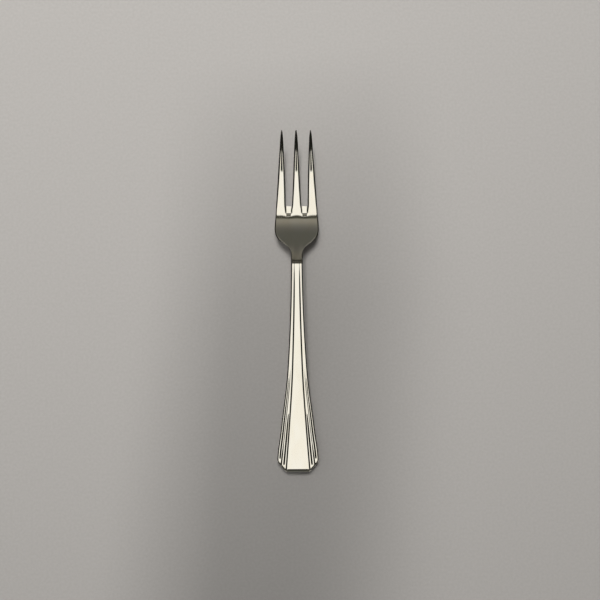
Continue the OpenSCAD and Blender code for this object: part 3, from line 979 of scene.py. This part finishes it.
# Table top
# A plain pale sheet with a fine paper grain lies under the fork. It belongs to the stage and not to the
# part, and is measured in metres, like the tent, the lamps and the flag.
TABLE_PALE = (0.43, 0.41, 0.388, 1)
TABLE_DARK = (0.405, 0.385, 0.363, 1)
FIBRE_SCALE = (700, 700, 700)
FIBRE_COLOURS = (0.35, 0.65)
TABLE_ROUGHNESS = 0.85
TABLE_SIZE = 4
table = new_material("table_paper")
tree = table.node_tree
fibre = stretched_noise(tree, FIBRE_SCALE, detail=4)
paper = blended_colour(tree, faded(tree, fibre, FIBRE_COLOURS, (0, 1)), TABLE_DARK, TABLE_PALE)
surface = wired(tree, "ShaderNodeBsdfPrincipled", {"Base Color": paper, "Roughness": TABLE_ROUGHNESS})
wired(tree, "ShaderNodeOutputMaterial", {"Surface": surface.outputs["BSDF"]})
bpy.ops.mesh.primitive_plane_add(size=TABLE_SIZE)
table_top = bpy.context.object
table_top.name = "table_top"
table_top.data.materials.append(table)


# Light
# A cloth tent stands over the table for the polished metal to mirror: a bright roof, a grey far side with
# a low window, and dark near and end sides. Two soft lamps and a plain surround light the table itself.
TENT_RADIUS = 20
TENT_SEGMENTS = 96
TENT_RINGS = 48
ROOF = (0.965, 0.94, 0.865, 1)
NOTCH = (0.02, 0.02, 0.016, 1)
END = (0.013, 0.0127, 0.011, 1)
# Angles from straight up over which a dark notch in the roof's near edge and the dark ends begin and stop
NOTCH_NEAR = np.radians((-36, -34))
NOTCH_FAR = np.radians((-21.5, -20))
NOTCH_SIDE = np.radians((7.5, 10))
END_START = np.radians((15, 20))
# The ends are paler low on the near side, by angle, and in the far corners, by distance from the middle
NEAR_END = np.radians((-60, -42))
NEAR_END_SHARE = 0.3
FAR_CORNER = (0.56 * TENT_RADIUS, 0.64 * TENT_RADIUS)
FAR_CORNER_SHARE = 0.5
# Cloth from the near side over the roof to the far side: degrees from straight up, and the colour there
TENT_STOPS = [
    (-90, (0.13, 0.13, 0.12, 1)),
    (-60, (0.09, 0.09, 0.08, 1)),
    (-48, (0.055, 0.055, 0.047, 1)),
    (-43, (0.012, 0.012, 0.01, 1)),
    (-33.2, (0.006, 0.006, 0.004, 1)),
    (-32, ROOF),
    (25.3, ROOF),
    (26.3, (0.055, 0.053, 0.042, 1)),
    (29.8, (0.055, 0.053, 0.042, 1)),
    (31.2, (0.245, 0.235, 0.197, 1)),
    (34.8, (0.225, 0.211, 0.179, 1)),
    (38.3, (0.149, 0.145, 0.125, 1)),
    (40.4, (0.115, 0.11, 0.098, 1)),
    (42.4, (0.0885, 0.088, 0.075, 1)),
    (50, (0.08, 0.079, 0.068, 1)),
    (52.5, ROOF),
    (76, ROOF),
    (82, (0.25, 0.245, 0.22, 1)),
]
tent_cloth = new_material("tent_cloth")
tree = tent_cloth.node_tree
place = wired(tree, "ShaderNodeTexCoord")
parts = wired(tree, "ShaderNodeSeparateXYZ", {"Vector": place.outputs["Object"]}).outputs


def from_upright(tree, sideways, upwards):
    """Angle from straight up towards a side."""
    return wired(tree, "ShaderNodeMath", {0: sideways, 1: upwards}, operation="ARCTAN2").outputs[0]


to_far_side = from_upright(tree, parts["Y"], parts["Z"])
to_right = from_upright(tree, parts["X"], parts["Z"])
to_end = wired(tree, "ShaderNodeMath", {0: to_right}, operation="ABSOLUTE").outputs[0]
way_over = faded(tree, to_far_side, (-QUARTER_TURN, QUARTER_TURN), (0, 1))
panels = wired(tree, "ShaderNodeValToRGB", {"Fac": way_over})
ramp = panels.color_ramp
while len(ramp.elements) < len(TENT_STOPS):
    ramp.elements.new(1)
for element, (degrees, cloth) in zip(ramp.elements, TENT_STOPS):
    element.position = (degrees + 90) / 180
    element.color = cloth
notch_near = faded(tree, to_far_side, NOTCH_NEAR, (0, 1))
notch_far = faded(tree, to_far_side, NOTCH_FAR, (1, 0))
notch_side = faded(tree, to_end, NOTCH_SIDE, (1, 0))
notch_share = product(tree, product(tree, notch_near, notch_far), notch_side)
notched = blended_colour(tree, notch_share, panels.outputs["Color"], NOTCH)
end_start = faded(tree, to_end, END_START, (0, 1))
near_end = faded(tree, to_far_side, NEAR_END, (NEAR_END_SHARE, 1))
far_corner = faded(tree, parts["Y"], FAR_CORNER, (1, FAR_CORNER_SHARE))
end_share = product(tree, product(tree, end_start, near_end), far_corner)
cloth_colour = blended_colour(tree, end_share, notched, END)
glow = wired(tree, "ShaderNodeEmission", {"Color": cloth_colour, "Strength": 1})
wired(tree, "ShaderNodeOutputMaterial", {"Surface": glow.outputs["Emission"]})
bpy.ops.mesh.primitive_uv_sphere_add(segments=TENT_SEGMENTS, ring_count=TENT_RINGS, radius=TENT_RADIUS)
tent = bpy.context.object
tent.name = "light_tent"
tent.data.materials.append(tent_cloth)
tent.visible_camera = False
tent.visible_diffuse = False
tent.visible_shadow = False

# The plain surround
SURROUND = (0.98, 1, 1, 1)
SURROUND_STRENGTH = 0.105
world = bpy.data.worlds.new("surround")
world.use_nodes = True
background = world.node_tree.nodes["Background"].inputs
background["Color"].default_value = SURROUND
background["Strength"].default_value = SURROUND_STRENGTH
bpy.context.scene.world = world


def soft_lamp(name, place, size, power):
    """A square lamp that faces the fork and that the metal doesn't mirror."""
    data = bpy.data.lights.new(name, "AREA")
    data.size = size
    data.energy = power
    lamp = bpy.data.objects.new(name, data)
    lamp.location = place
    lamp.rotation_euler = (-lamp.location).to_track_quat("-Z", "Y").to_euler()
    lamp.visible_glossy = False
    bpy.context.scene.collection.objects.link(lamp)


soft_lamp("roof_lamp", place=(-0.07, 0.7, 1.2), size=0.45, power=19.1)
soft_lamp("far_lamp", place=(-0.45, 0.2, 0.618), size=0.9, power=1.35)
# A flag under the roof lamp dims the table along the fork, most of all past the handle's end
FLAG_HEIGHT = 0.262
FLAG_CORNERS = [(-0.088, -0.189), (-0.016, -0.189), (0.008, 0.214), (-0.0232, 0.214)]
flag = bpy.data.meshes.new("camera_shade")
flag.from_pydata([(x, y, FLAG_HEIGHT) for x, y in FLAG_CORNERS], [], [(0, 1, 2, 3)])
shade = bpy.data.objects.new("camera_shade", flag)
bpy.context.scene.collection.objects.link(shade)
shade.data.materials.append(table)
shade.visible_camera = False
shade.visible_glossy = False
shade.visible_diffuse = False


# Camera
# It looks straight down on the fork from about a forearm's length, with the tines at the top of the
# picture. Its place is in millimetres, from the axis and from the handle's end, like those of the pieces.
CAMERA_OFFSET = 1.6
CAMERA_PLACE = 95.18
CAMERA_HEIGHT = 321
CAMERA_TURN = math.radians(-0.32)
camera_data = bpy.data.cameras.new("overhead_camera")
camera_data.lens = 34.4
camera_data.sensor_width = 36
camera = bpy.data.objects.new("overhead_camera", camera_data)
camera.location = (CAMERA_OFFSET * MM, (CAMERA_PLACE - fork_length / 2) * MM, CAMERA_HEIGHT * MM)
camera.rotation_euler = (0, 0, CAMERA_TURN)
bpy.context.scene.collection.objects.link(camera)
bpy.context.scene.camera = camera
bpy.context.scene.view_settings.view_transform = "Standard"
